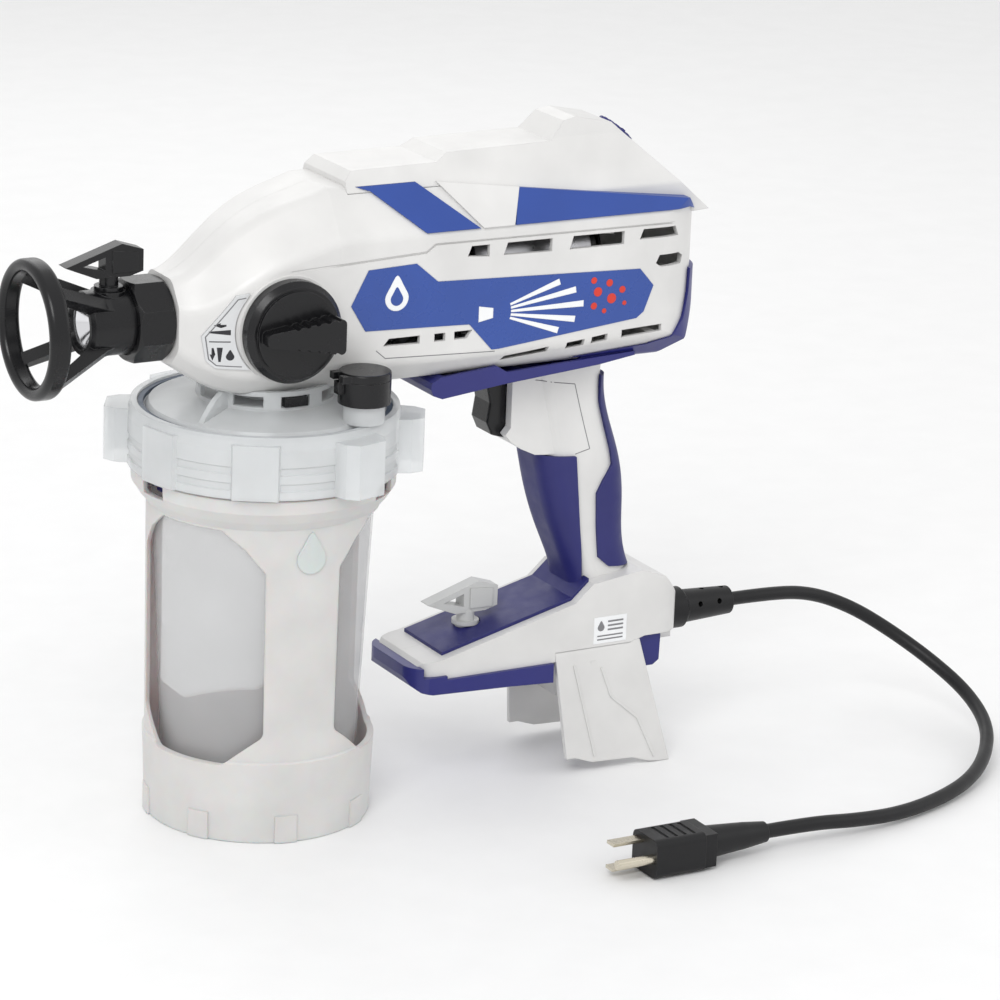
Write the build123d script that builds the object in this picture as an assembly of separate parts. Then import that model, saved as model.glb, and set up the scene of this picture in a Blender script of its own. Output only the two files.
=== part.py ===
"""Handheld airless paint sprayer: a clamshell gun with a motor-driven piston pump over a paint cup.

Frame, in millimetres: the origin is on the cup's axis at the surface it stands on, +Z is up,
the spray leaves along -X and the prime knob is on the -Y side.
"""
from build123d import *
import os
from math import atan, cos, degrees, pi, radians, sin, tan

os.makedirs("parts", exist_ok=True)

# ---------------------------------------------------------------- driving dimensions
# paint cup
CUP_BASE_RADIUS = 56.0
CUP_RIM_RADIUS = 57.5
CUP_RIM_Z = 41.0
COLLAR_RADIUS = 65.0
COLLAR_BOTTOM_Z = 170.0
NUT_BOTTOM_Z = 178.0
LID_BOTTOM_Z = 203.0
LID_THICKNESS = 2.6
CUP_WINDOW_COUNT = 3
CUP_POST_ANGLE = -95.0
CUP_TAB_COUNT = 8
CUP_TAB_ANGLE = -101.6

# gun body
WALL = 2.5
SPRAY_Z = 256.0
BODY_HALF_WIDTH = 37.0
BODY_BOTTOM_Z = 219.0
BODY_FRONT_X = -57.0
BODY_REAR_X = 228.0
MID_START_X = 20.0
SHOULDER_Z = 294.0
CREST_Z = 317.0
CREST_HALF_WIDTH = 22.0
ROOF_RISE = 0.122
ROOF_ANCHOR = (125.0, 309.0)
SKIN = 1.5

# handle and base
BASE_HALF_WIDTH = 25.0
BASE_BOTTOM_Z = 60.0
STAND_HALF_WIDTH = 32.0

# spray end
NUT_FRONT_X = -76.0
NUT_REAR_X = -57.4
TIP_X = -84.0
GUARD_X = -122.0
GUARD_RADIUS = 30.6

# prime valve
KNOB_X = -7.0
KNOB_Z = 254.0
KNOB_RADIUS = 25.0
BOSS_Y = -BODY_HALF_WIDTH - 0.4

# vent on the lid
VENT_X = 27.0
VENT_Y = -51.2
VENT_RADIUS = 12.8
VENT_BASE_Z = 218.5
VENT_SPLIT_Z = 230.5

# drive train
MOTOR_Z = 268.0
MOTOR_RADIUS = 27.0
MOTOR_FRONT_X = 100.0
GEAR_MODULE = 0.8
PINION_TEETH = 10
GEAR_TEETH = 48
PINION_BORE = 2.2
GEAR_X = 84.0
GEAR_WIDTH = 8.0
GEAR_Z = MOTOR_Z - GEAR_MODULE * (PINION_TEETH + GEAR_TEETH) / 2
SWASH_X = 71.0
SWASH_RADIUS = 15.0
SWASH_TILT = 12.0
PISTON_RADIUS = 3.2
PISTON_CIRCLE = 10.0

RUNNING = 0.05
CLEAR = 0.3

# lid
LATCH_ANGLE = -91.0

# spray tips
TIP_BARREL_RADIUS = 5.2
TIP_BARREL_LENGTH = 22.0
TIP_HANDLE_Z = 278.5
SPARE_TIP_X = 116.0
SPARE_TIP_Z = 85.5
PAD = 1.8

# cord entry
GLAND_Z = 70.5
GLAND_RADIUS = 9.5

# power cord: its route from the strain relief to the plug, chosen by hand
CORD_RADIUS = 3.6
CORD_POINTS = [
    (273, 0, 70.5),
    (299, 0, 70.5),
    (326, 2, 67),
    (350, -2, 57.5),
    (369, -13, 45),
    (384, -32, 32),
    (391, -57, 21),
    (385, -85, 13),
    (366, -111, 7.6),
    (341, -132, 5.0),
    (312, -146, 4.2),
    (282, -155, 4.6),
    (254, -159, 7.0),
    (226, -160, 10.2),
    (198, -160, 10.2),
]
PLUG_CENTRE = (198.0, -160.0, 10.2)

# ---------------------------------------------------------------- small helpers
def save(shape, node):
    """Write one sub-part to its STEP file, named after the node."""
    shape.label = node
    export_step(shape, f"parts/{node}.step")


def side_prism(points, half_width, fillet_radius=0.0):
    """A side outline in XZ made solid from -half_width to +half_width in Y."""
    face = make_face(Plane.XZ * Polyline(*points, close=True))
    if fillet_radius:
        face = fillet(face.vertices(), fillet_radius)
    return extrude(face, half_width, both=True)


def one_side_prism(points, y_from, y_to):
    """A side outline in XZ made solid between two Y planes."""
    plane = Plane.XZ.offset(-y_from)
    face = make_face(plane * Polyline(*points, close=True))
    return extrude(face, y_to - y_from, dir=(0, 1, 0))


def box_between(x, y, z):
    """A box from its (low, high) pairs on X, Y and Z."""
    centre = ((x[0] + x[1]) / 2, (y[0] + y[1]) / 2, (z[0] + z[1]) / 2)
    return Pos(*centre) * Box(x[1] - x[0], y[1] - y[0], z[1] - z[0])


def rod_x(radius, x_from, x_to, y=0.0, z=SPRAY_Z):
    """A round bar along X."""
    return Pos((x_from + x_to) / 2, y, z) * Rot(0, 90, 0) * Cylinder(radius, x_to - x_from)


def rod_y(radius, y_from, y_to, x, z):
    """A round bar along Y."""
    return Pos(x, (y_from + y_to) / 2, z) * Rot(90, 0, 0) * Cylinder(radius, y_to - y_from)


def rod_z(radius, z_from, z_to, x=0.0, y=0.0):
    """A round bar along Z."""
    return Pos(x, y, (z_from + z_to) / 2) * Cylinder(radius, z_to - z_from)


def turned_z(points):
    """A solid of revolution about Z from (radius, z) points."""
    return revolve(make_face(Plane.XZ * Polyline(*points, close=True)), Axis.Z)


def turned_x(points, z=SPRAY_Z, y=0.0):
    """A solid of revolution about an X axis from (x, radius) points."""
    profile = make_face(Plane.XZ * Polyline(*points, close=True))
    return Pos(0, y, z) * revolve(profile, Axis.X)


def mirrored(shape):
    """The same shape on the other side of the gun's middle plane."""
    return mirror(shape, Plane.XZ)


def polar(radius, angle):
    """X and Y of a point at an angle in degrees round Z."""
    return radius * cos(radians(angle)), radius * sin(radians(angle))


# ---------------------------------------------------------------- gun body shapes
def body_section(x, bottom, top, half_width, chamfer, shoulder, crest, radius, grow=0.0):
    """One YZ section of the gun: flat sides, cut corners below, sloped shoulders above."""
    right = [
        (half_width - chamfer, bottom - grow),
        (half_width + grow, bottom + chamfer),
        (half_width + grow, shoulder),
        (crest + grow * 0.5, top + grow),
    ]
    left = [(-y, z) for y, z in reversed(right)]
    outline = make_face(Plane.YZ.offset(x) * Polyline(*(right + left), close=True))
    return fillet(outline.vertices(), radius)


def nose(grow=0.0, front_x=BODY_FRONT_X):
    """The tapering front of the gun, from the nozzle seat back to the straight middle."""
    sections = [
        body_section(front_x, 235, 277, 21, 9, 265, 12, 7.5, grow),
        body_section(-44, 226, 283, 28, 10, 266, 14, 8, grow),
        body_section(-28, 220.5, 296, 34, 11, 276, 16, 8, grow),
        body_section(-5, BODY_BOTTOM_Z, 309, 36.5, 12, 287, 20, 8, grow),
        body_section(MID_START_X, BODY_BOTTOM_Z, CREST_Z, BODY_HALF_WIDTH, 12, SHOULDER_Z,
                     CREST_HALF_WIDTH, 8, grow),
    ]
    return loft(sections)


def roof_z(x):
    """Height of the sloping roof under the top cover."""
    return ROOF_ANCHOR[1] - ROOF_RISE * (x - ROOF_ANCHOR[0])


def mid_body(grow=0.0):
    """The straight middle and rounded rear of the gun."""
    section = body_section(MID_START_X, BODY_BOTTOM_Z, CREST_Z, BODY_HALF_WIDTH, 12,
                           SHOULDER_Z, CREST_HALF_WIDTH, 8, grow)
    rear = BODY_REAR_X + grow
    bar = extrude(section, rear - MID_START_X, dir=(1, 0, 0))
    side = [
        (MID_START_X, BODY_BOTTOM_Z - 5),
        (200, BODY_BOTTOM_Z - 5),
        (205, BODY_BOTTOM_Z - grow),
        (218, 229 - grow),
        (rear, 256),
        (rear, 282 + grow),
        (216, roof_z(216) + grow),
        (60, roof_z(60) + grow),
        (45, CREST_Z + 3),
        (MID_START_X, CREST_Z + 3),
    ]
    corner = 28.0
    plan = make_face(Polyline(
        (MID_START_X, -BODY_HALF_WIDTH - grow), (rear, -BODY_HALF_WIDTH - grow),
        (rear, BODY_HALF_WIDTH + grow), (MID_START_X, BODY_HALF_WIDTH + grow), close=True))
    rear_corners = plan.vertices().sort_by(Axis.X)[-2:]
    plan = fillet(rear_corners, corner)
    return bar & side_prism(side, 60) & (Pos(0, 0, 200) * extrude(plan, 140, dir=(0, 0, 1)))


def handle(grow=0.0):
    """The pistol grip, an oval column leaning back from the base to the body."""
    sections = []
    for z, front, rear, half_width in [
        (226, 138, 184, 17.5),
        (205, 141, 184, 17),
        (180, 146, 189, 16),
        (145, 153.8, 198, 16),
        (115, 165, 200, 16),
        (102, 170.5, 204, 17),
        (88, 172, 210, 19),
    ]:
        outline = Pos((front + rear) / 2, 0, z) * RectangleRounded(
            rear - front + 2 * grow, 2 * (half_width + grow), half_width * 0.72)
        sections.append(outline)
    return loft(sections)


def base(grow=0.0):
    """The foot of the handle, which holds the cord entry and the spare tip."""
    side = [
        (77 - grow, BASE_BOTTOM_Z - grow),
        (75 - grow, 64),
        (80 - grow, 69 + grow),
        (91, 70.5 + grow),
        (166, 90 + grow),
        (176, 99 + grow),
        (205, 103 + grow),
        (219, 98 + grow),
        (231 + grow, 84),
        (231 + grow, BASE_BOTTOM_Z - grow),
    ]
    block = side_prism(side, BASE_HALF_WIDTH + grow)
    return (block & base_envelope(grow)) - base_rear_notch(grow)


def base_envelope(grow):
    """Plan outline of the base: rounded corners, widest at the rear."""
    half = BASE_HALF_WIDTH + grow
    plan = make_face(Polyline(
        (75 - grow, -half), (231 + grow, -half), (231 + grow, half), (75 - grow, half),
        close=True))
    plan = fillet(plan.vertices(), 13)
    return Pos(0, 0, 40) * extrude(plan, 80, dir=(0, 0, 1))


def base_rear_notch(grow):
    """What is missing under the base at each rear side, where its lower edge climbs."""
    edge = [
        (160 + grow, 40),
        (160 + grow, BASE_BOTTOM_Z - 1 - grow),
        (178 + grow, 63.4 - grow),
        (195, 63.4 - grow),
        (208, 67.3 - grow),
        (245, 67.3 - grow),
        (245, 40),
    ]
    side = one_side_prism(edge, 13 + grow, 40)
    return side + mirrored(side)


def trigger_housing(grow=0.0):
    """The bridge between body and handle that the trigger slides in."""
    outline = [
        (129.5 - grow, 224),
        (129.5 - grow, 184 - grow),
        (126.5 - grow, 180.5 - grow),
        (130 - grow, 176.5 - grow),
        (136, 172.3 - grow),
        (144, 168.5 - grow),
        (168, 166 - grow),
        (172, 224),
    ]
    return side_prism(outline, 15 + grow)


def screw_places():
    """(x, z, half width of the gun there) of each clamshell screw."""
    return [
        (-38, 236, 25),
        (40, 302, 30),
        (104, 229, 34.5),
        (190, 288, BODY_HALF_WIDTH),
        (196, 236, BODY_HALF_WIDTH),
        (180, 172, 16),
        (177, 118, 15.2),
        (98, 66, BASE_HALF_WIDTH),
        (210, 86, BASE_HALF_WIDTH),
    ]


SCREW_HEAD_DEPTH = 3.0


def vent_outlines():
    """XZ outlines of the cooling slots cut through each side of the gun."""
    return [
        [(89, 281), (101, 280), (101, 286), (91, 286)],
        [(109, 280), (136, 279.5), (136, 286), (111, 286)],
        [(146, 279.5), (177, 279.5), (177, 286), (148, 286)],
        [(186, 281), (209, 281), (207, 286), (188, 286)],
        [(196, 268), (199, 266), (212, 266), (213, 270), (210, 272), (198, 272)],
        [(44, 240.5), (64, 240), (64, 244), (47, 244)],
        [(72, 240), (78, 240), (78, 244), (72, 244)],
        [(83, 240), (90, 240), (93, 244), (83, 244)],
        [(112, 225.5), (137, 228), (137, 231), (113, 228)],
        [(147, 228.5), (157, 229.5), (157, 233), (147, 232)],
        [(161, 230), (170, 231), (170, 234.5), (161, 233.5)],
        [(178, 231.5), (201, 233), (201, 236.5), (178, 235.5)],
    ]


def label_outline():
    """XZ outline of the arrow-nosed side label."""
    return [(26, 262), (35, 279), (61, 280), (73, 270), (187, 266), (195, 257),
            (190, 244), (186, 241), (108, 233), (104, 233), (91, 247), (34, 249)]


def rail_groove():
    """The shallow seam that runs from the nose along the side under the shoulder."""
    return [(-6, 282), (66, 285.5), (71, 289), (215, 288.2), (215, 287.4), (71.5, 288.1),
            (66.5, 284.5), (-6, 281)]


def knob_boss(grow=0.0):
    """Round pad on the nose that carries the prime knob."""
    return rod_y(KNOB_RADIUS + 1.2 + grow, BOSS_Y, -24, KNOB_X, KNOB_Z)


def front_panel_outline():
    """XZ outline of the slanted stripe behind the nose."""
    return [(24, 326), (66, 326), (66, 317), (95.5, 294.6), (66, 294.6), (41, 314.5), (24, 320)]


def rear_panel_outline():
    """XZ outline of the long panel under the top cover's rear half."""
    return [(121, 312), (219, 299), (225, 291), (216, 294.6), (115, 294.6)]


def tongue_outline():
    """XZ outline of the cover's tongue between the two coloured panels."""
    return [(72, 322), (123, 314), (114, 294.6), (97, 294.6)]


def gun_outer():
    """Everything the two housing halves cover, as one solid."""
    lower = handle() + base() + trigger_housing()
    return nose() + mid_body() + knob_boss() + lower


def gun_cavity():
    """The hollow inside the housing halves."""
    upper = nose(-WALL, BODY_FRONT_X + WALL) + mid_body(-WALL)
    lower = handle(-WALL) + base(-WALL) + trigger_housing(-WALL)
    return upper + lower


def screw_bosses(cavity):
    """Solid pillars inside the gun that the screws pull together."""
    pillars = [rod_y(4.2, -60, 60, x, z) for x, z, _ in screw_places()]
    return [pillar & cavity for pillar in pillars]


def spare_tip_socket():
    """The stepped hole in the base that the spare tip is parked in."""
    barrel = rod_z(TIP_BARREL_RADIUS + RUNNING, 54, 100, SPARE_TIP_X)
    return barrel + rod_z(7 + 2 * CLEAR, SPARE_TIP_Z - 6.5 - CLEAR, 100, SPARE_TIP_X)


def gun_cuts():
    """Every hole and recess in the housing halves."""
    cuts = [
        rod_x(13, BODY_FRONT_X - 5, BODY_FRONT_X + 8),
        rod_y(9, -60, -20, KNOB_X, KNOB_Z),
        rod_z(17, 200, 235),
        rod_x(GLAND_RADIUS, 222, 240, z=GLAND_Z),
        spare_tip_socket(),
        box_between((120, 150), (-9.5, 9.5), (177.5, 206)),
        side_prism(rail_groove(), 60) - side_prism(rail_groove(), BODY_HALF_WIDTH - 0.8),
    ]
    cuts += [side_prism(outline, 60) for outline in vent_outlines()]
    cuts += [side_prism(label_outline(), 60) - box_between((0, 240), (-36.3, 36.3), (200, 300))]
    for x, z, half_width in screw_places():
        cuts.append(rod_y(1.6, -8, 60, x, z))
        cuts.append(rod_y(3.4, half_width - SCREW_HEAD_DEPTH, 60, x, z))
    return cuts


def build_housings():
    """The two clamshell halves, split on the gun's middle plane."""
    cavity = gun_cavity()
    shell = gun_outer() - cavity
    for pillar in screw_bosses(cavity):
        shell = shell + pillar
    halves = []
    for y_range in ((-80, 0), (0, 80)):
        half = shell & box_between((-100, 300), y_range, (0, 400))
        for cut in gun_cuts():
            half = half - cut
        halves.append(half)
    return halves


def skin(outline, thickness, y_from=0.0, y_to=60.0):
    """A thin panel on both sides of the straight middle, cut to an XZ outline."""
    layer = mid_body(thickness) - mid_body()
    strip = one_side_prism(outline, y_from, y_to)
    near = layer & mirrored(strip)
    far = layer & strip
    return near, far


# ---------------------------------------------------------------- covers and trim
def cover_shape(inset=0.0):
    """The top cover's outer form: a low deck in front and a hump at the back."""
    side = [
        (29 + inset * 25, 300),
        (29 + inset * 25, 319.5),
        (33 + inset * 25, 324 - inset),
        (80, 324.5 - inset),
        (86 + inset, 328.5 - inset),
        (145 + inset, 329.5 - inset),
        (153 + inset, 338.5 - inset),
        (160, 340 - inset),
        (180 - inset, 336 - inset),
        (231 - inset * 3, 291),
        (216, 290),
    ]
    section = [
        (-28 + inset, 285), (-28 + inset, 306), (-24 + inset, 314), (-16 + inset, 331),
        (-13 + inset, 342), (13 - inset, 342), (16 - inset, 331), (24 - inset, 314),
        (28 - inset, 306), (28 - inset, 285),
    ]
    face = make_face(Plane.YZ.offset(20) * Polyline(*section, close=True))
    face = fillet(face.vertices(), 4)
    bar = extrude(face, 220, dir=(1, 0, 0))
    return side_prism(side, 40) & bar


DIAL_CENTRE = (190.0, 0.0, 327.1)
DIAL_SLOPE = degrees(atan((336 - 291) / (231 - 180)))
DIAL_RADIUS = 10.0


def dial_frame():
    """Location on the cover's rear slope with +Z leaving the slope."""
    return Pos(*DIAL_CENTRE) * Rot(0, DIAL_SLOPE, 0)


def build_top_cover():
    """Hollow top cover with a tongue down each shoulder and a hole for the speed dial."""
    shell = cover_shape() - cover_shape(2.0)
    shell = shell - mid_body() - nose()
    for tongue in skin(tongue_outline(), SKIN):
        shell = shell + (tongue - cover_shape())
    return shell - dial_frame() * Cylinder(DIAL_RADIUS + CLEAR, 12)


def build_side_panels(outline, cover):
    """A pair of coloured panels, one on each shoulder."""
    near, far = skin(outline, 1.2, 12.0)
    return (near - cover_shape() - cover) + (far - cover_shape() - cover)


def build_speed_dial():
    """Fluted round knob with a short shaft."""
    knob = Pos(0, 0, -0.5) * Cylinder(DIAL_RADIUS, 6)
    for index in range(16):
        knob = knob - Rot(0, 0, index * 22.5) * Pos(DIAL_RADIUS, 0, 0) * Cylinder(0.8, 12)
    pointer = Pos(0, 0, 2.9) * Box(2, 14, 1.0)
    shaft = Pos(0, 0, -6.5) * Cylinder(2.5, 6)
    return dial_frame() * (knob + pointer + shaft)


def build_lower_trim():
    """Thin band under the body, deepest in front, with a strip up the body's rear."""
    keel = [(74.5, 214), (76, 210.5), (81, 208.5), (100, 210.7), (115, 212.5), (169, 217),
            (190, 220), (190, 222), (117, 218.5), (111, 222.3), (80, 219.5), (75, 217)]
    hollow = [(82, 222), (82, 212), (100, 213), (115, 215), (160, 218.6), (160, 222)]
    band = [(78, 205), (78, 219), (111, 222.3), (117, 218.5), (205, 226.5), (205, 205)]
    strip = [(219.5, 262), (240, 262), (240, 208), (200, 208), (196, 226), (207, 229),
             (215, 238), (218.5, 250)]
    layer = mid_body(1.4) - mid_body()
    trim = side_prism(keel, 31) + (layer & side_prism(band, 60)) + (layer & side_prism(strip, 60))
    trim = trim - side_prism(hollow, 29)
    return trim - mid_body() - handle() - trigger_housing()


def build_rear_grip():
    """Soft strip down the back of the handle, wide where the palm rests."""
    outline = [(180, 206.4), (200, 206.4), (215, 104), (204.6, 103.5), (188.6, 105),
               (182.5, 110.3), (181, 126.6), (180, 144.4), (183.3, 151), (188.5, 159.1),
               (187.5, 166), (183.5, 180), (180, 192)]
    strip = (handle(SKIN) - handle()) & side_prism(outline, 30)
    return strip - base()


def build_front_grip():
    """Soft grip round the handle's front, running out over the top of the base."""
    outline = [(125, 171), (136.8, 169.5), (152.3, 166.9), (166.9, 165.6), (168.8, 147.4),
               (170.7, 129.5), (172.5, 114), (174, 100), (174, 90), (166, 84), (140, 80),
               (125, 140)]
    wrap = (handle(PAD) - handle()) & side_prism(outline, 30)
    pad_outline = [(92, 66), (166, 86), (176, 95), (176, 108), (150, 101), (92, 80)]
    pad = (base(PAD) - base()) & side_prism(pad_outline, 20)
    grip = (wrap - base()) + (pad - handle())
    return grip - trigger_housing() - spare_tip_socket()


def build_base_bumper():
    """Hollow bumper under the base that wraps round its front and ends in a rear heel."""
    outline = [(72.5, 67), (72, 62), (74, 57.5), (78, 54.5), (84, 53), (128, 51.4),
               (153.5, 50), (153.5, BASE_BOTTOM_Z), (92, BASE_BOTTOM_Z), (92, 62), (79, 62),
               (79, 67)]
    heel_outline = [(206.5, 66.5), (219.4, 66.8), (219, 52), (215.5, 49.5), (210, 49.5),
                    (206.5, 58)]
    block = side_prism(outline, 27) & base_envelope(2.6)
    hollow = box_between((88, 150), (-20, 20), (53.5, 70))
    heel = side_prism(heel_outline, 22)
    link = box_between((150, 208), (-8, 8), (52.6, 55.6))
    return block + heel + link - base() - hollow


def build_stand():
    """Two splayed side walls under the base, joined by a top plate and a cross web."""
    walls = []
    top_z = BASE_BOTTOM_Z
    for side in (-1, 1):
        top = Pos(180, side * 23.6, top_z + 6) * Rectangle(50, 2.6)
        foot = Pos(192, side * (STAND_HALF_WIDTH - 1.3), 0) * Rectangle(60, 2.6)
        walls.append(loft([top, foot]))
    plate = box_between((156, 205), (-24, 24), (top_z - 2.6, top_z))
    web = box_between((176, 178.5), (-26, 26), (28, top_z - 2)) - side_prism(
        [(150, 20), (200, 20), (200, 30), (150, 30)], 8)
    wave = side_prism([(150, -1), (150, 8.5), (166, 8.5), (176, 5), (200, 4), (210, 0.8),
                       (216, 0), (216, -1)], 40)
    flange = box_between((150, 170), (-8.3, 8.3), (52.3, 55.9)) + box_between(
        (170, 210), (-8.3, 8.3), (52.3, 55.9))
    stand = walls[0] + walls[1] + plate + web
    return stand - wave - flange - base()


def build_side_labels():
    """The two recessed side labels."""
    plate = one_side_prism(label_outline(), BODY_HALF_WIDTH - 0.7, BODY_HALF_WIDTH + 0.3)
    return plate + mirrored(plate)


def build_prime_plate():
    """Thin metal plate beside the prime knob."""
    outline = [(-27, 273), (-33, 272), (-48, 252), (-46, 240), (-42, 236.5), (-25, 235.5),
               (-22, 238), (-29, 247), (-32, 262)]
    layer = nose(1.0) - nose()
    return (layer & mirrored(one_side_prism(outline, 10, 60))) - knob_boss(0.4)


# ---------------------------------------------------------------- trigger group
def build_trigger():
    """Finger trigger with a curved front and a stem that slides in the handle."""
    face = [(119, 205), (121, 196), (119.5, 186), (122.5, 179.5), (128, 178), (133.5, 178),
            (133.5, 205)]
    pull = side_prism(face, 9)
    front_edges = pull.edges().filter_by(lambda edge: edge.center().X < 122 and abs(edge.center().Y) > 8)
    pull = fillet(front_edges, 2.0)
    trigger = pull + box_between((133, 148), (-8, 8), (181, 200))
    return trigger - rod_x(3.4, 137.5, 149, z=190)


def coil_spring(coil_radius, wire_radius, length, turns):
    """A round-wire compression spring along +Z from the origin."""
    path = Helix(length / turns, length, coil_radius)
    start = Plane(origin=path @ 0, z_dir=path % 0)
    return sweep(start * Circle(wire_radius), path, is_frenet=True)


def build_trigger_spring():
    """Return spring between the switch and the trigger's pocket."""
    return Pos(145.5, 0, 190) * Rot(0, 90, 0) * coil_spring(2.5, 0.45, 12, 5)


def build_trigger_switch():
    """Switch block behind the trigger, with its plunger and two terminals."""
    block = box_between((158.4, 172.5), (-8, 8), (180, 198))
    terminals = [box_between((172.5, 177.5), (side - 1, side + 1), (181, 184)) for side in (-4, 4)]
    return block + terminals[0] + terminals[1]


# ---------------------------------------------------------------- motor
def build_motor_can():
    """Steel can with a closed front and a bearing seat."""
    can = rod_x(MOTOR_RADIUS, MOTOR_FRONT_X, 165, z=MOTOR_Z)
    can = can - rod_x(MOTOR_RADIUS - 2, MOTOR_FRONT_X + 2, 170, z=MOTOR_Z)
    return can - rod_x(9, MOTOR_FRONT_X - 1, MOTOR_FRONT_X + 5, z=MOTOR_Z)


def build_motor_end_plate():
    """Rear plate of the motor with its bearing seat and air holes."""
    plate = rod_x(MOTOR_RADIUS, 165, 168, z=MOTOR_Z) - rod_x(9, 164, 169, z=MOTOR_Z)
    for index in range(6):
        angle = radians(index * 60 + 30)
        plate = plate - rod_x(4, 164, 169, 17 * cos(angle), MOTOR_Z + 17 * sin(angle))
    return plate


def build_motor_magnets():
    """Two arc magnets fixed inside the can."""
    ring = rod_x(MOTOR_RADIUS - 2, 110, 152, z=MOTOR_Z) - rod_x(20.5, 109, 153, z=MOTOR_Z)
    return ring - box_between((100, 160), (-7, 7), (MOTOR_Z - 40, MOTOR_Z + 40))


def build_armature():
    """Slotted rotor core."""
    core = rod_x(19.8, 113, 150, z=MOTOR_Z) - rod_x(4, 112, 151, z=MOTOR_Z)
    for index in range(12):
        angle = index * 30
        slot = Pos(131.5, 0, MOTOR_Z) * Rot(angle, 0, 0) * Pos(0, 0, 16) * Box(40, 2.4, 9)
        core = core - slot
    return core


def build_commutator():
    """Copper commutator on the motor shaft."""
    ring = rod_x(9, 153, 163, z=MOTOR_Z) - rod_x(4, 152, 164, z=MOTOR_Z)
    for index in range(12):
        groove = Pos(158, 0, MOTOR_Z) * Rot(index * 30, 0, 0) * Pos(0, 0, 9) * Box(12, 0.5, 1.6)
        ring = ring - groove
    return ring


def build_carbon_brushes():
    """Two carbon blocks that bear on the commutator."""
    block = box_between((155.5, 160.5), (9.1, 24.6), (MOTOR_Z - 3, MOTOR_Z + 3))
    return block + mirrored(block)


def build_motor_shaft():
    """Steel shaft of the rotor."""
    return rod_x(4, 92, 180, z=MOTOR_Z) + rod_x(PINION_BORE, 79, 92, z=MOTOR_Z)


def build_cooling_fan():
    """Radial fan behind the motor."""
    fan = rod_x(8, 171, 179, z=MOTOR_Z) + rod_x(24, 171, 172.5, z=MOTOR_Z)
    for index in range(9):
        blade = Pos(175.5, 0, MOTOR_Z) * Rot(index * 40, 0, 0) * Pos(0, 0, 15.5) * Box(7, 1.6, 17)
        fan = fan + blade
    return fan - rod_x(4, 170, 180, z=MOTOR_Z)


def build_bearings():
    """Ball bearings of the motor shaft and of the swash shaft."""
    places = [(98, 103, 9, 4, MOTOR_Z), (164, 169, 9, 4, MOTOR_Z), (90.5, 95, 8, 4, GEAR_Z),
              (50, 54, 5.4, 2.5, GEAR_Z)]
    rings = []
    for x_from, x_to, outer, bore, z in places:
        ring = rod_x(outer, x_from, x_to, z=z) - rod_x(bore + RUNNING, x_from - 1, x_to + 1, z=z)
        rings.append(ring)
    return Compound(children=rings)


# ---------------------------------------------------------------- gears and pump
def spur_gear(teeth, bore, phase):
    """A spur gear about X, centred on the origin, with slim straight-sided teeth."""
    pitch = GEAR_MODULE * teeth / 2
    root = pitch - 1.15 * GEAR_MODULE
    tip = pitch + 0.8 * GEAR_MODULE
    outline = []
    for index in range(teeth):
        centre = phase + index * 360 / teeth
        for radius, half_thickness in ((root, -0.6), (tip, -0.22), (tip, 0.22), (root, 0.6)):
            outline.append(polar(radius, centre + degrees(half_thickness / radius)))
    wheel = extrude(make_face(Polyline(*outline, close=True)), GEAR_WIDTH / 2, both=True)
    wheel = wheel - Cylinder(bore, GEAR_WIDTH + 2)
    return Rot(0, 90, 0) * wheel


def build_pinion():
    """Small gear on the motor shaft."""
    return Pos(GEAR_X, 0, MOTOR_Z) * spur_gear(PINION_TEETH, PINION_BORE, 18)


def build_drive_gear():
    """Large gear that turns the swash shaft, with lightening holes."""
    gear = spur_gear(GEAR_TEETH, 4, 180)
    for index in range(6):
        angle = radians(index * 60)
        gear = gear - rod_x(3, -10, 10, 11 * cos(angle), 11 * sin(angle))
    return Pos(GEAR_X, 0, GEAR_Z) * gear


def build_swash_shaft():
    """Shaft with the tilted disc that pushes the pistons."""
    disc = Rot(0, 90 + SWASH_TILT, 0) * Cylinder(SWASH_RADIUS, 5)
    hub = rod_x(6, -6, 7, z=0)
    rear = rod_x(4, 7, 95 - SWASH_X, z=0)
    front = rod_x(2.5, 50 - SWASH_X, -6, z=0)
    return Pos(SWASH_X, 0, GEAR_Z) * (disc + hub + rear + front)


def piston_place(index):
    """Y and Z of one piston's axis."""
    angle = radians(90 + index * 120)
    return PISTON_CIRCLE * cos(angle), GEAR_Z + PISTON_CIRCLE * sin(angle)


PISTON_TIP_X = SWASH_X - SWASH_RADIUS * sin(radians(SWASH_TILT)) - 3.0
BLOCK_REAR_X = 50.0


def build_piston(index):
    """Ground steel plunger with a head that the swash disc pushes."""
    y, z = piston_place(index)
    rod = rod_x(PISTON_RADIUS, 30, PISTON_TIP_X - 4, y, z)
    return rod + rod_x(4.6, PISTON_TIP_X - 4, PISTON_TIP_X, y, z)


def build_piston_spring(index):
    """Return spring round one plunger."""
    y, z = piston_place(index)
    head_x = PISTON_TIP_X - 4.5
    return Pos(head_x - 17.5, y, z) * Rot(0, 90, 0) * coil_spring(3.9, 0.45, 17.5, 6)


def build_pump_block():
    """Pump body with piston bores, the paint passages and the prime valve's seat."""
    block = rod_x(20, 15.5, BLOCK_REAR_X, z=GEAR_Z)
    block = block + box_between((-32, 20), (-15, 15), (234, 268))
    cuts = [
        rod_x(4, -33, -10),
        rod_z(6, 230, 256),
        rod_y(4 + RUNNING, -16, 3, KNOB_X, KNOB_Z),
    ]
    for index in range(3):
        y, z = piston_place(index)
        cuts.append(rod_x(PISTON_RADIUS + RUNNING, 22, BLOCK_REAR_X, y, z))
        cuts.append(rod_x(4.9, 36, BLOCK_REAR_X + 1, y, z))
    for cut in cuts:
        block = block - cut
    return block


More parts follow.
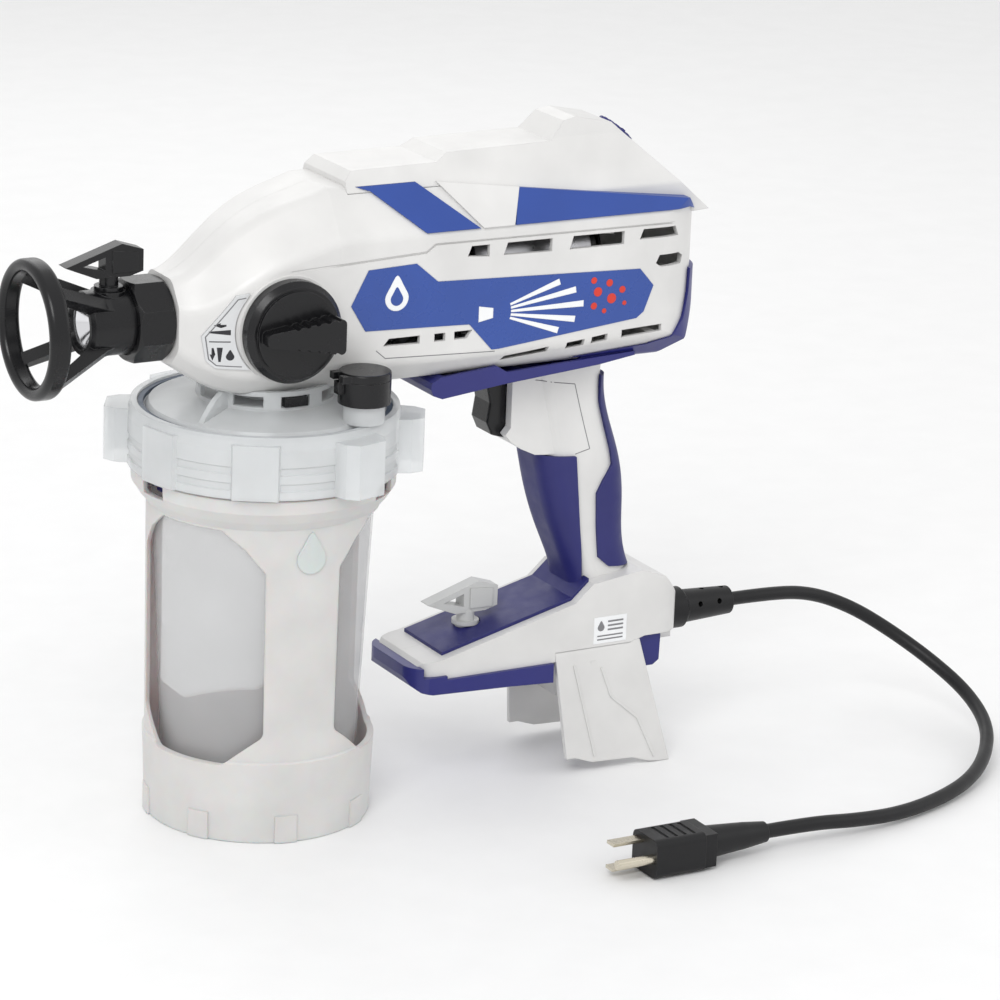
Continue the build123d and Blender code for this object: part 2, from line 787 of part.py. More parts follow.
def build_gear_plate():
    """Bearing plate between the motor and the gears."""
    plate = box_between((91, 94), (-24, 24), (226, 294))
    plate = plate - rod_x(8, 90, 95, z=GEAR_Z) - rod_x(6, 90, 95, z=MOTOR_Z)
    for y in (-21, 21):
        for z in (230, 290):
            plate = plate - rod_x(1.6, 90, 95, y, z)
    return plate


def build_outlet_fitting():
    """Threaded outlet that the retaining nut screws on."""
    fitting = turned_x([(-67, 4), (-67, 10.2), (-66, 11), (-54.4, 11), (-54.4, 15), (-50, 15),
                        (-50, 9), (-32, 9), (-32, 4)])
    return fitting


def build_inlet_fitting():
    """Neck that joins the pump to the paint inside the cup."""
    return turned_z([(6, 204), (12, 204), (12, 214), (15, 214), (15, 234), (6, 234)])


def build_inlet_strainer():
    """Slotted strainer basket under the inlet."""
    basket = turned_z([(0, 184), (9, 184), (9.5, 186), (10, 204), (8.8, 204), (8.2, 186.5),
                       (0, 186.5)])
    for index in range(4):
        for z in (189, 193, 197, 201):
            slot = Rot(0, 0, index * 45) * Pos(0, 0, z) * Box(30, 5, 1.6)
            basket = basket - slot
    return basket


def build_control_board():
    """Speed control board under the top cover, with its components."""
    board = box_between((150, 182), (-15, 15), (308, 309.6))
    parts = [box_between((156, 166), (-10, -2), (309.6, 318)), rod_z(4, 309.6, 320, 160, 7),
             box_between((170, 178), (-8, 8), (309.6, 314))]
    for part in parts:
        board = board + part
    post = box_between((152, 156), (-12, 12), (roof_z(154) - 4, 308)) - mid_body()
    return board + post


# ---------------------------------------------------------------- prime valve
def build_prime_knob():
    """Round knob with a tapered wing."""
    knob = rod_y(KNOB_RADIUS, -45.5, BOSS_Y - CLEAR, 0, 0)
    knob = chamfer(knob.faces().sort_by(Axis.Y)[0].edges(), 2.5)
    knob = knob + rod_y(KNOB_RADIUS - 4.2, -47, -45, 0, 0)
    wing = mirrored(one_side_prism([(-19, 3.2), (19.5, 9), (19.5, -9), (-19, -3.2)], 46.5, 60))
    wing = fillet(wing.edges().filter_by(Axis.Y), 2.4)
    slope = extrude(make_face(Polyline((-30, -52.5), (-30, -70), (30, -70), (30, -60.5),
                                       close=True)), 40, both=True)
    wing = wing - slope
    for index in range(5):
        for side in (-1, 1):
            x = 15.5 - index * 5
            z = side * (9.6 - (19.5 - x) * 0.15)
            wing = wing - rod_y(1.5, -62, -47, x, z)
    return Pos(KNOB_X, 0, KNOB_Z) * (knob + wing)


def build_prime_valve_stem():
    """Valve stem between the knob and the pump block."""
    stem = rod_y(4, BOSS_Y - CLEAR, 2, KNOB_X, KNOB_Z)
    return stem + rod_y(8, BOSS_Y - CLEAR, -34, KNOB_X, KNOB_Z)


# ---------------------------------------------------------------- spray end
def build_retaining_nut():
    """Eight-sided nut that holds the tip guard on the outlet."""
    octagon = RegularPolygon(19.4, 8, major_radius=False, rotation=22.5)
    body = Rot(0, 90, 0) * extrude(octagon, NUT_REAR_X - NUT_FRONT_X)
    nut = Pos(NUT_FRONT_X, 0, SPRAY_Z) * body
    nut = nut & turned_x([(NUT_FRONT_X, 0), (NUT_FRONT_X, 19.2), (NUT_FRONT_X + 2, 21),
                          (NUT_REAR_X - 2, 21), (NUT_REAR_X, 19.2), (NUT_REAR_X, 0)])
    return nut - rod_x(16.6, NUT_FRONT_X - 1, -66.9) - rod_x(11.06, -67, -57)


def guard_leg(angle):
    """One strut from the ring back to the guard's body."""
    outline = [(-121, 28.5), (-118, 32.2), (-90, 16.8), (-86, 15.6), (-86, 12), (-97, 12.8)]
    strut = side_prism(outline, 3.2)
    return Rot(angle, 0, 0) * strut


def build_tip_guard():
    """Guard ring on four legs, with the bore that the spray tip turns in."""
    ring_profile = Plane.XZ * (Pos(GUARD_X, GUARD_RADIUS) * RectangleRounded(10.4, 6.2, 2.9))
    guard = revolve(ring_profile, Axis.X)
    for angle in (45, 135, 225, 315):
        guard = guard + guard_leg(angle)
    body = turned_x([(-99, 0), (-99, 14.5), (-97, 16), (NUT_FRONT_X + 0.5, 16),
                     (NUT_FRONT_X + 0.5, 16.3), (-67.2, 16.3), (-67.2, 0)], z=0)
    guard = guard + body + Pos(TIP_X, 0, 0) * rod_z(8.5, 0, 272 - SPRAY_Z)
    guard = guard - turned_x([(-100, 0), (-100, 12.5), (-97, 11.6), (-90.5, 6), (-90.5, 0)], z=0)
    guard = guard - rod_x(3, -95, -60, z=0)
    barrel_bottom = TIP_HANDLE_Z - 6.5 - TIP_BARREL_LENGTH - SPRAY_Z
    guard = guard - rod_z(TIP_BARREL_RADIUS + RUNNING, barrel_bottom - CLEAR, 30, TIP_X)
    return Pos(0, 0, SPRAY_Z) * guard


def build_tip_seat():
    """Metal diffuser in the guard's mouth."""
    return turned_x([(-96.9, 11.5), (-96.4, 9.6), (-91.8, 4.4), (-90.5, 3), (-90.5, 6)])


def tip_piece(x, z):
    """A reversible spray tip: barrel, flange and an arrow-shaped handle pointing to -X."""
    barrel = rod_z(TIP_BARREL_RADIUS, z - 6.5 - TIP_BARREL_LENGTH, z - 6.5, x)
    flange = rod_z(7, z - 6.5, z - 4.5, x)
    stem = rod_z(4.6, z - 4.5, z + 1, x)
    arrow = side_prism([(-24, 6.5), (5, 16), (16, 12.5), (16, 2), (9, 0), (-8, 0)], 4.2)
    arrow = arrow - side_prism([(-15, 6.4), (-3.5, 10.2), (-3.5, 3.4)], 10)
    ridge = side_prism([(0, 2), (13, 2), (13, 11.5), (0, 13)], 4.8)
    return barrel + flange + stem + Pos(x, 0, z) * (arrow + ridge)


def build_spray_tip():
    """The spray tip in use, with its orifice across the barrel."""
    return tip_piece(TIP_X, TIP_HANDLE_Z) - rod_x(0.5, TIP_X - 8, TIP_X + 8)


def build_spare_tip():
    """The second tip, parked in the top of the base."""
    return tip_piece(SPARE_TIP_X, SPARE_TIP_Z)


# ---------------------------------------------------------------- paint cup
def build_cup_holder():
    """Rigid cup with three windows between its posts and a threaded neck."""
    cup = turned_z([
        (0, 0), (CUP_BASE_RADIUS, 0), (CUP_RIM_RADIUS, CUP_RIM_Z),
        (56.4, CUP_RIM_Z + 0.8), (57.2, 160), (61, 164.5), (64.6, COLLAR_BOTTOM_Z),
        (COLLAR_RADIUS, 176.6), (61.5, 177), (61.5, 183), (63, 184), (63, 186), (61.5, 187),
        (61.5, 191), (63, 192), (63, 194), (61.5, 195), (61.5, 202), (59, 202), (59, 177),
        (62.2, 175), (62.2, 171), (58.8, 166.5), (55, 161), (54.2, 44), (53.6, 4.4), (0, 4.4)])
    window = make_face(Polyline((-20, 39.5), (20, 39.5), (37, 55), (37, 138.5), (29, 150),
                                (18, 159), (-18, 159), (-29, 150), (-37, 138.5), (-37, 55),
                                close=True))
    window = fillet(window.vertices(), 5)
    window = extrude(Plane.YZ.offset(30) * window, 40, dir=(1, 0, 0))
    step = 360 / CUP_WINDOW_COUNT
    for index in range(CUP_WINDOW_COUNT):
        angle = CUP_POST_ANGLE + step / 2 + index * step
        cup = cup - Rot(0, 0, angle) * window
        slot = Rot(0, 0, angle - 17) * box_between((56, 70), (-8.5, 8.5), (169.5, 176.2))
        cup = cup - slot
    for index in range(CUP_TAB_COUNT):
        angle = CUP_TAB_ANGLE + index * 360 / CUP_TAB_COUNT
        tab = Rot(0, 0, angle) * box_between((54.5, 60), (-5.6, 5.6), (0, 14))
        cup = cup + (tab & rod_z(57.2, 0, 14))
    return cup


def build_liner():
    """Thin flexible liner that holds the paint."""
    return turned_z([
        (0, 4.6), (45.5, 4.6), (47.5, 6.5), (54.5, 160), (58.4, 178), (58.4, 202.1), (61.4, 202.1),
        (61.4, LID_BOTTOM_Z), (57.4, LID_BOTTOM_Z), (57.4, 178.2), (53.5, 160.2), (46.6, 7.2),
        (45, 5.6), (0, 5.6)])


def lid_fin(angle):
    """Curved gusset on the lid from its rim up to the boss."""
    fin = side_prism([(33.5, 211), (33.5, 221.5), (38, 221), (44, 218), (50, 213), (55.5, 207.6),
                      (55.5, 206.5)], 1.5)
    return Rot(0, 0, angle) * fin


def build_lid():
    """Lid with a boss round the pump's inlet, gussets and the neck of the vent."""
    lid = turned_z([
        (12, 214), (15.5, 214), (15.5, 213), (31.5, 213), (31.5, 222), (34, 222),
        (34, 212.6), (56.5, 208.6), (58.4, LID_BOTTOM_Z + LID_THICKNESS),
        (63.5, LID_BOTTOM_Z + LID_THICKNESS), (63.5, LID_BOTTOM_Z), (56.5, LID_BOTTOM_Z),
        (55, 206.2), (33, 210.2), (16, 210.2), (15, 206), (12, 206)])
    for index in range(9):
        window = Rot(0, 0, LATCH_ANGLE + index * 40) * box_between((30, 36), (-7.5, 7.5),
                                                                   (214.2, 219.6))
        lid = lid - window
    for angle in (LATCH_ANGLE - 60, LATCH_ANGLE + 60, LATCH_ANGLE + 180):
        lid = lid + lid_fin(angle)
    lid = lid - mid_body(CLEAR) - nose(CLEAR)
    root = rod_z(4.8, 205, 209.2, VENT_X * 0.93, VENT_Y * 0.93)
    neck = rod_z(10.2, 208.9, VENT_BASE_Z, VENT_X, VENT_Y)
    return lid + root + neck - rod_z(3, 200, VENT_BASE_Z + 1, VENT_X * 0.95, VENT_Y * 0.95)


def build_lid_gasket():
    """Rubber ring on the lid's rim."""
    z = LID_BOTTOM_Z + LID_THICKNESS
    return turned_z([(59.2, z), (61.8, z), (61.8, z + 1.9), (59.2, z + 1.9)])


def build_ring_nut():
    """Big threaded ring that clamps the cup to the lid, with stepped sides and lugs."""
    top = 208.6
    nut = turned_z([
        (64, NUT_BOTTOM_Z), (66.9, NUT_BOTTOM_Z), (66.9, 182), (66.1, 182.4), (66.1, 185.6),
        (66.9, 186), (66.9, 190), (66.1, 190.4), (66.1, 193.6), (66.9, 194), (66.9, 202),
        (65.4, top), (62.2, top), (62.2, 206), (64, 206)])
    pad = make_face(Polyline((64.5, -12), (68.2, -11), (68.2, 11), (64.5, 12), close=True))
    pad = Pos(0, 0, NUT_BOTTOM_Z) * extrude(pad, 27, dir=(0, 0, 1)) - rod_z(65, 170, 210)
    lug = make_face(Polyline((64.5, -13), (72, -12), (77.6, -8), (77.6, 8), (72, 12), (64.5, 13),
                             close=True))
    lug = Pos(0, 0, NUT_BOTTOM_Z) * extrude(lug, 27, dir=(0, 0, 1))
    hollow = make_face(Polyline((60, -10), (72, -9.5), (75.4, -6.5), (75.4, 6.5), (72, 9.5),
                                (60, 10), close=True))
    hollow = Pos(0, 0, NUT_BOTTOM_Z - 1) * extrude(hollow, 25.5, dir=(0, 0, 1))
    hollow = hollow - rod_z(66.2, 170, 210)
    for angle in (-75, -30, 105, 150):
        nut = nut + Rot(0, 0, angle) * (lug - rod_z(65, 170, 210))
        nut = nut - Rot(0, 0, angle) * hollow
    for angle in (-165, -120, 15, 60):
        nut = nut + Rot(0, 0, angle) * pad
    return nut


def build_vent_body():
    """Black vent housing on the lid's neck, with a hinge ear."""
    body = rod_z(VENT_RADIUS, VENT_BASE_Z, VENT_SPLIT_Z - 0.2, VENT_X, VENT_Y)
    ear = box_between((VENT_X - 15.3, VENT_X - 10), (VENT_Y - 2.4, VENT_Y + 2.4),
                      (VENT_SPLIT_Z - 6.4, VENT_SPLIT_Z - 0.2))
    return body + ear - rod_z(4, VENT_BASE_Z - 1, VENT_SPLIT_Z + 1, VENT_X, VENT_Y)


def build_vent_flap():
    """Flip top of the vent with two hinge ears."""
    flap = rod_z(VENT_RADIUS, VENT_SPLIT_Z, VENT_SPLIT_Z + 3.9, VENT_X, VENT_Y)
    flap = fillet(flap.faces().sort_by(Axis.Z)[-1].edges(), 1.0)
    for side in (-1, 1):
        y_from = VENT_Y + side * 5 - 2
        ear = box_between((VENT_X - 15.3, VENT_X - 9), (y_from, y_from + 4),
                          (VENT_SPLIT_Z, VENT_SPLIT_Z + 3.4))
        flap = flap + ear
    return flap


def build_lid_latch():
    """Small black latch in a window of the lid's boss."""
    tab = box_between((30.6, 34.8), (-6, 6), (214.6, 219.2))
    return Rot(0, 0, LATCH_ANGLE) * tab


# ---------------------------------------------------------------- cord and plug
def build_strain_relief():
    """Moulded gland with a tapered sleeve and two flex holes."""
    gland = turned_x([(224, 0), (224, GLAND_RADIUS), (231, GLAND_RADIUS), (231, 10.8),
                      (243, 10.8), (245, 8.8), (273, 7.4), (273, 0)], z=GLAND_Z)
    for x in (252, 264):
        gland = gland - rod_y(1.4, -20, 20, x, GLAND_Z + 2.5)
        gland = gland - rod_z(1.4, 50, 90, x + 5, 0)
    return gland


def cord_path():
    """Straight runs joined by arcs that are as large as the runs allow."""
    points = [Vector(*point) for point in CORD_POINTS]
    radii = []
    for before, corner, after in zip(points, points[1:], points[2:]):
        inward = corner - before
        outward = after - corner
        turn = radians(inward.get_angle(outward))
        radii.append(0.45 * min(inward.length, outward.length) / tan(turn / 2))
    print("cord radii, mm:", [round(radius, 1) for radius in radii])
    return FilletPolyline(*points, radius=radii)


def build_power_cord():
    """Round flexible cord from the strain relief to the plug."""
    path = cord_path()
    start = Plane(origin=path @ 0, z_dir=path % 0)
    cord = sweep(start * Circle(CORD_RADIUS), path)
    section = pi * CORD_RADIUS ** 2
    print("cord length, mm:", round(path.length, 1), "volume ratio:",
          round(cord.volume / (section * path.length), 4))
    return cord


def build_plug_body():
    """Moulded plug with a ribbed grip, lying on its side, pointing to -X."""
    boot = turned_x([(-34, 0), (-34, 8.2), (-12, 6.6), (0, 5.2), (0, 0)], z=0)
    flange = Pos(-38, 0, 0) * Box(8, 22, 17)
    body = Pos(-55, -1, 0) * Box(28, 23, 19.6)
    body = fillet(body.edges().filter_by(Axis.X), 4)
    plug = boot + flange + body
    for index in range(4):
        for side in (-1, 1):
            groove = Pos(-46 - index * 5, -1, side * 10.2) * Box(2, 15, 2)
            plug = plug - groove
    return Pos(*PLUG_CENTRE) * plug


def build_plug_blades():
    """Two flat blades and a round earth pin."""
    blades = []
    for side in (-1, 1):
        blades.append(Pos(-77.5, 3.5, side * 6.35) * Box(17, 6.35, 1.6))
    pin = Pos(-79, -8.4, 0) * Rot(0, 90, 0) * Cylinder(2.4, 20)
    return Pos(*PLUG_CENTRE) * Compound(children=blades + [pin])


def build_housing_screws():
    """Pan-head screws that hold the two halves together."""
    screws = []
    for x, z, half_width in screw_places():
        seat = half_width - SCREW_HEAD_DEPTH
        head = rod_y(3.1, seat, seat + 2.2, x, z)
        cross = Pos(x, seat + 2.0, z) * (Box(3.4, 1.2, 0.8) + Box(0.8, 1.2, 3.4))
        screws.append(head + rod_y(1.5, -7.5, seat + 0.1, x, z) - cross)
    return Compound(children=screws)


def main():
    """Build and save every sub-part."""
    near, far = build_housings()
    save(near, "left_housing")
    save(far, "right_housing")
    save(build_housing_screws(), "housing_screws")
    cover = build_top_cover()
    save(cover, "top_cover")
    save(build_side_panels(front_panel_outline(), cover), "front_side_panels")
    save(build_side_panels(rear_panel_outline(), cover), "rear_side_panels")
    for index in range(3):
        save(build_piston(index), f"piston_{index + 1}")
        save(build_piston_spring(index), f"piston_spring_{index + 1}")
    for builder in (
        build_speed_dial, build_lower_trim, build_rear_grip, build_front_grip,
        build_base_bumper, build_stand, build_side_labels, build_prime_plate,
        build_trigger, build_trigger_spring, build_trigger_switch, build_motor_can,
        build_motor_end_plate, build_motor_magnets, build_armature, build_commutator,
        build_carbon_brushes, build_motor_shaft, build_cooling_fan, build_bearings,
        build_pinion, build_drive_gear, build_swash_shaft, build_pump_block,
        build_gear_plate, build_outlet_fitting, build_inlet_fitting, build_inlet_strainer,
        build_control_board, build_prime_knob, build_prime_valve_stem, build_retaining_nut,
        build_tip_guard, build_tip_seat, build_spray_tip, build_spare_tip, build_cup_holder,
        build_liner, build_lid, build_lid_gasket, build_ring_nut, build_vent_body,
        build_vent_flap, build_lid_latch, build_strain_relief, build_power_cord,
        build_plug_body, build_plug_blades,
    ):
        save(builder(), builder.__name__.removeprefix("build_"))


main()
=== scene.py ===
"""Looks for the airless paint sprayer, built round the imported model.

Frame, in metres: the origin is on the cup's axis at floor level, +Z is up, the spray leaves
along -X and the prime knob is on the -Y side. Lengths named below are in millimetres.
"""
from math import cos, pi, radians, sin

import bmesh
import bpy
from mathutils import Matrix, Vector


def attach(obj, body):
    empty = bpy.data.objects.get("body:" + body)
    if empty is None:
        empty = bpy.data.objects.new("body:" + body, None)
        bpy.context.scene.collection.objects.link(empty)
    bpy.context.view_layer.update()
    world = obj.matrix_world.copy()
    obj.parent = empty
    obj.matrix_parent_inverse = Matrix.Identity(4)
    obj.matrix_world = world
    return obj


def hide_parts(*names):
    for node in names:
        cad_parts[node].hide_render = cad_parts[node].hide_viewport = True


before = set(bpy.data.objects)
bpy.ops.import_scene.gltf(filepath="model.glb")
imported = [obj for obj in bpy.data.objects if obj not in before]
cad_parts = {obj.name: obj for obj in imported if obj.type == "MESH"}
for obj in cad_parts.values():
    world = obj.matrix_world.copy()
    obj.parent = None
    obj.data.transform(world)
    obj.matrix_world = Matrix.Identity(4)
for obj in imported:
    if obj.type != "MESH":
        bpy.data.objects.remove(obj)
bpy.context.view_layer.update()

MM = 0.001

# ---------------------------------------------------------------- camera
CAMERA_AZIMUTH = radians(-30)
CAMERA_ELEVATION = 0.302
CAMERA_ROLL = 0.04
CAMERA_DISTANCE = 2.2
CAMERA_TARGET = Vector((0.1336, 0.0, 0.1417))
CAMERA_LENS = 157.04
SENSOR_WIDTH = 36.0
CLIP_END = 50.0


def add_camera():
    """The camera at the chosen viewing angle."""
    back = Vector((
        sin(CAMERA_AZIMUTH) * cos(CAMERA_ELEVATION),
        -cos(CAMERA_AZIMUTH) * cos(CAMERA_ELEVATION),
        sin(CAMERA_ELEVATION)))
    right = (-back).cross(Vector((0, 0, 1))).normalized()
    up = right.cross(-back)
    rolled_right = cos(CAMERA_ROLL) * right + sin(CAMERA_ROLL) * up
    rolled_up = cos(CAMERA_ROLL) * up - sin(CAMERA_ROLL) * right
    data = bpy.data.cameras.new("camera")
    data.lens = CAMERA_LENS
    data.sensor_width = SENSOR_WIDTH
    data.clip_end = CLIP_END
    camera = bpy.data.objects.new("camera", data)
    axes = Matrix((rolled_right, rolled_up, back)).transposed()
    camera.matrix_world = Matrix.Translation(
        CAMERA_TARGET + CAMERA_DISTANCE * back) @ axes.to_4x4()
    bpy.context.collection.objects.link(camera)
    bpy.context.scene.camera = camera


# ---------------------------------------------------------------- materials
NOISE_LOW = 0.3
NOISE_HIGH = 0.7
MOTTLING_SIZE = 0.03
SCUFF_SIZE = 0.004
GLOSS_SIZE = 0.008
GLOSS_DETAIL = 5.0
GLOSS_SPREAD = 0.12
EDGE_SAMPLES = 4
EDGE_GAIN = 3.0
BUMP_DISTANCE = 0.0001


def add_node(tree, kind, **settings):
    """A shader node with its properties set."""
    node = tree.nodes.new(kind)
    for name, value in settings.items():
        setattr(node, name, value)
    return node


def noise(tree, coordinates, size, detail=3.0):
    """A noise texture whose features are about size metres across."""
    node = add_node(tree, "ShaderNodeTexNoise")
    node.inputs["Scale"].default_value = 1.0 / size
    node.inputs["Detail"].default_value = detail
    tree.links.new(coordinates, node.inputs["Vector"])
    return node.outputs["Fac"]


def remap(tree, value, low, high):
    """The middle half of a noise value, stretched to run from low to high."""
    node = add_node(tree, "ShaderNodeMapRange")
    node.inputs["From Min"].default_value = NOISE_LOW
    node.inputs["From Max"].default_value = NOISE_HIGH
    node.inputs["To Min"].default_value = low
    node.inputs["To Max"].default_value = high
    tree.links.new(value, node.inputs["Value"])
    return node.outputs["Result"]


def mix_colours(tree, factor, first, second):
    """A colour between two others. Each is a colour or a node's output."""
    node = add_node(tree, "ShaderNodeMix", data_type="RGBA")
    sockets = [s for s in node.inputs if s.type == "RGBA"]
    tree.links.new(factor, node.inputs["Factor"])
    for socket, colour in zip(sockets, (first, second)):
        if isinstance(colour, bpy.types.NodeSocket):
            tree.links.new(colour, socket)
        else:
            socket.default_value = (*colour, 1)
    return [s for s in node.outputs if s.type == "RGBA"][0]


def edge_mask(tree, radius):
    """The normal with edges rounded to a radius, and a mask: 1 on sharp edges, 0 elsewhere."""
    bevel = add_node(tree, "ShaderNodeBevel", samples=EDGE_SAMPLES)
    bevel.inputs["Radius"].default_value = radius
    geometry = add_node(tree, "ShaderNodeNewGeometry")
    dot = add_node(tree, "ShaderNodeVectorMath", operation="DOT_PRODUCT")
    tree.links.new(bevel.outputs["Normal"], dot.inputs[0])
    tree.links.new(geometry.outputs["Normal"], dot.inputs[1])
    mask = add_node(tree, "ShaderNodeMapRange")
    mask.inputs["From Min"].default_value = 1.0
    mask.inputs["From Max"].default_value = 1.0 - 1.0 / EDGE_GAIN
    tree.links.new(dot.outputs["Value"], mask.inputs["Value"])
    return bevel.outputs["Normal"], mask.outputs["Result"]


def surface(name, colour, roughness, grain=0.2, grain_size=0.0007, variation=0.05,
            edge=0.0005, edge_wear_and_highlight=0.12, **constants):
    """A procedural finish: mottled colour, uneven gloss, fine grain and rounded edges, paler in
    patches along sharp edges as partly edge wear and partly a painted highlight.
    """
    material = bpy.data.materials.new(name)
    material.use_nodes = True
    tree = material.node_tree
    shader = tree.nodes["Principled BSDF"]
    coordinates = add_node(tree, "ShaderNodeTexCoord").outputs["Object"]

    mottling = noise(tree, coordinates, MOTTLING_SIZE)
    darker = [c * (1 - variation) for c in colour]
    lighter = [min(1.0, c * (1 + variation)) for c in colour]
    body = mix_colours(tree, remap(tree, mottling, 0, 1), darker, lighter)
    normal, edges = edge_mask(tree, edge)
    # Sharp edges are mixed towards a paler colour in random patches: partly edge wear, partly a
    # painted highlight along the edges.
    wear_and_highlight_mix = add_node(tree, "ShaderNodeMath", operation="MULTIPLY")
    tree.links.new(edges, wear_and_highlight_mix.inputs[0])
    patches = noise(tree, coordinates, SCUFF_SIZE)
    tree.links.new(remap(tree, patches, 0, edge_wear_and_highlight), wear_and_highlight_mix.inputs[1])
    pale = [c + (1 - c) * 0.5 for c in colour]
    tree.links.new(mix_colours(tree, wear_and_highlight_mix.outputs["Value"], body, pale),
                   shader.inputs["Base Color"])

    gloss = noise(tree, coordinates, GLOSS_SIZE, GLOSS_DETAIL)
    least = roughness * (1 - GLOSS_SPREAD)
    most = roughness * (1 + GLOSS_SPREAD)
    tree.links.new(remap(tree, gloss, least, most), shader.inputs["Roughness"])

    bump = add_node(tree, "ShaderNodeBump")
    bump.inputs["Strength"].default_value = grain
    bump.inputs["Distance"].default_value = BUMP_DISTANCE
    tree.links.new(noise(tree, coordinates, grain_size), bump.inputs["Height"])
    tree.links.new(normal, bump.inputs["Normal"])
    tree.links.new(bump.outputs["Normal"], shader.inputs["Normal"])
    for socket, value in constants.items():
        shader.inputs[socket.replace("_", " ")].default_value = value
    return material


def brushed(name, colour, roughness):
    """Machined metal with fine turning marks."""
    return surface(name, colour, roughness, grain=0.25, grain_size=0.0004, variation=0.06,
                   edge=0.0003, edge_wear_and_highlight=0.3, Metallic=1.0)


def make_materials():
    """Every finish, by name."""
    return {
        "white": surface("white_plastic", (0.68, 0.675, 0.665), 0.36),
        "cup": surface("cup_plastic", (0.62, 0.615, 0.605), 0.46, grain=0.3, edge=0.0008,
                       Subsurface_Weight=0.35, Subsurface_Scale=0.006),
        "clear": surface("clear_plastic", (0.78, 0.80, 0.81), 0.22, grain=0.12, edge=0.0007,
                         Alpha=0.6),
        "liner": surface("liner_film", (0.66, 0.665, 0.67), 0.3, grain=0.2, edge=0.0006,
                         Alpha=0.3),
        "panel_blue": surface("panel_blue", (0.018, 0.06, 0.30), 0.34),
        "blue": surface("trim_blue", (0.018, 0.02, 0.16), 0.36),
        "label": surface("label_film", (0.016, 0.062, 0.31), 0.28, grain=0.08, edge=0.0002,
                         Coat_Weight=0.3),
        "blue_rubber": surface("blue_rubber", (0.015, 0.016, 0.13), 0.5, grain=0.5),
        "black": surface("black_plastic", (0.005, 0.005, 0.006), 0.26, edge_wear_and_highlight=0.16,
                         Specular_IOR_Level=0.38),
        "black_rubber": surface("black_rubber", (0.006, 0.006, 0.007), 0.42, grain=0.4,
                                grain_size=0.001, Specular_IOR_Level=0.35),
        "grey": surface("grey_plastic", (0.52, 0.525, 0.52), 0.34),
        "steel": brushed("machined_steel", (0.55, 0.55, 0.57), 0.3),
        "chrome": brushed("polished_seat", (0.75, 0.75, 0.77), 0.14),
        "brass": brushed("plated_brass", (0.66, 0.61, 0.5), 0.26),
        "copper": brushed("copper", (0.75, 0.36, 0.2), 0.32),
        "aluminium": brushed("satin_aluminium", (0.72, 0.73, 0.74), 0.34),
        "magnet": surface("ferrite", (0.05, 0.05, 0.055), 0.6, grain=0.6),
        "carbon": surface("graphite", (0.02, 0.02, 0.02), 0.5, grain=0.6),
        "board": surface("solder_mask", (0.01, 0.09, 0.03), 0.35),
        "gasket": surface("gasket_rubber", (0.05, 0.075, 0.12), 0.5, grain=0.4),
        "ink": surface("black_ink", (0.015, 0.015, 0.02), 0.45, grain=0.1),
        "print": surface("white_print", (0.85, 0.86, 0.87), 0.4, grain=0.1),
        "accent": surface("red_print", (0.62, 0.035, 0.02), 0.4, grain=0.1),
        "grey_print": surface("grey_print", (0.2, 0.2, 0.21), 0.4, grain=0.1),
    }


FINISHES = {
    "white": ["left_housing", "right_housing", "top_cover", "stand"],
    "panel_blue": ["front_side_panels", "rear_side_panels"],
    "blue": ["lower_trim", "base_bumper", "speed_dial"],
    "blue_rubber": ["rear_grip", "front_grip"],
    "label": ["side_labels"],
    "aluminium": ["prime_plate", "pump_block"],
    "board": ["control_board"],
    "black": ["trigger", "trigger_switch", "motor_end_plate", "cooling_fan", "prime_knob",
              "retaining_nut", "tip_guard", "spray_tip", "vent_body", "vent_flap", "lid_latch"],
    "steel": ["housing_screws", "trigger_spring", "motor_can", "armature", "motor_shaft",
              "bearings", "pinion", "drive_gear", "swash_shaft", "gear_plate",
              "outlet_fitting", "inlet_fitting", "prime_valve_stem", "piston_1", "piston_2",
              "piston_3", "piston_spring_1", "piston_spring_2", "piston_spring_3"],
    "magnet": ["motor_magnets"],
    "copper": ["commutator"],
    "carbon": ["carbon_brushes"],
    "grey": ["inlet_strainer", "spare_tip"],
    "chrome": ["tip_seat"],
    "cup": ["cup_holder"],
    "liner": ["liner"],
    "clear": ["lid", "ring_nut"],
    "gasket": ["lid_gasket"],
    "black_rubber": ["strain_relief", "power_cord", "plug_body"],
    "brass": ["plug_blades"],
}


def finish_nodes(materials):
    """Give every CAD node its finish."""
    for name, nodes in FINISHES.items():
        for node in nodes:
            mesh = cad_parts[node].data
            mesh.materials.clear()
            mesh.materials.append(materials[name])


# ---------------------------------------------------------------- cord
CORD_DIAMETER = 7.2
CORD_POINTS = [
    (273, 0, 70.5),
    (299, 0, 70.5),
    (326, 2, 67),
    (350, -2, 57.5),
    (369, -13, 45),
    (384, -32, 32),
    (391, -57, 21),
    (385, -85, 13),
    (366, -111, 7.6),
    (341, -132, 5.0),
    (312, -146, 4.2),
    (282, -155, 4.6),
    (254, -159, 7.0),
    (226, -160, 10.2),
    (198, -160, 10.2),
]


def add_cord(material):
    """The power cord, from the strain relief to the plug."""
    curve = bpy.data.curves.new("power_lead", "CURVE")
    curve.dimensions = "3D"
    curve.bevel_depth = CORD_DIAMETER / 2 * MM
    curve.bevel_resolution = 8
    curve.resolution_u = 20
    curve.use_fill_caps = True
    spline = curve.splines.new("NURBS")
    spline.points.add(len(CORD_POINTS) - 1)
    for point, place in zip(spline.points, CORD_POINTS):
        point.co = (*(Vector(place) * MM), 1)
    spline.order_u = 3
    spline.use_endpoint_u = True
    curve.materials.append(material)
    lead = bpy.data.objects.new("power_lead", curve)
    bpy.context.collection.objects.link(lead)
    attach(lead, "gun")
    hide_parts("power_cord")


# ---------------------------------------------------------------- printed and raised graphics
MOST_CUTS = 8
SUNK = 0.1
RAY_START = 150
PRINT_HEIGHT = 0.12
PRINT_ON_PRINT_HEIGHT = 0.2


